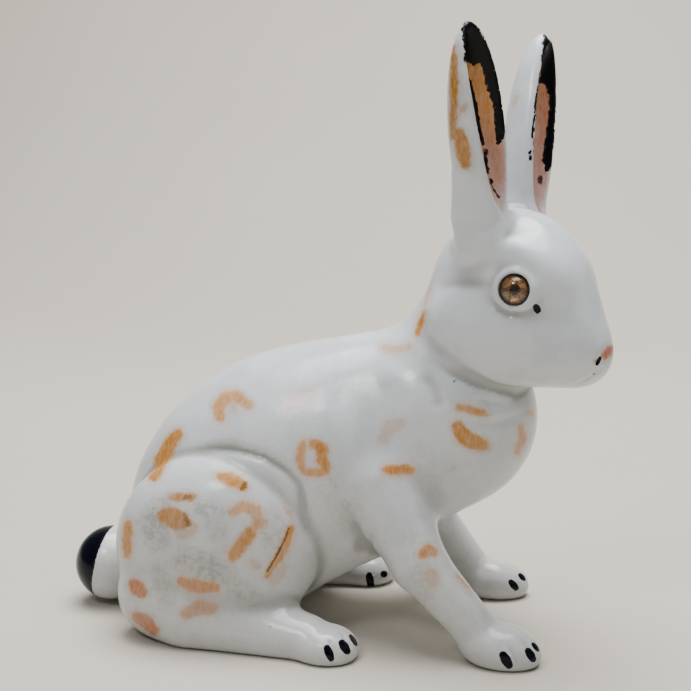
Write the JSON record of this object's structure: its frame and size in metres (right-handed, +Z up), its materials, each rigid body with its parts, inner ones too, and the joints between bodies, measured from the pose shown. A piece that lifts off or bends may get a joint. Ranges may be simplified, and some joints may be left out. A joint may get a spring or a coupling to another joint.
{
  "type": "rabbit figurine",
  "caption": "Seated rabbit figurine in white glazed earthenware, head turned, with upright ears and glass eyes.",
  "frame": {"origin": "on the ground, at the middle of the footprint box", "axes": "+Z up, from the paws to the ears; +X from the tail to the forepaws, the way the body faces; +Y to the rabbit's left"},
  "size_m": [0.2716, 0.1366, 0.2887],
  "materials": {
    "glazed_earthenware": "glossy",
    "eye_glass": "polished"
  },
  "bodies": {
    "root": {"rabbit": "glazed_earthenware", "eye_left": "eye_glass", "eye_right": "eye_glass"}
  },
  "joints": []
}
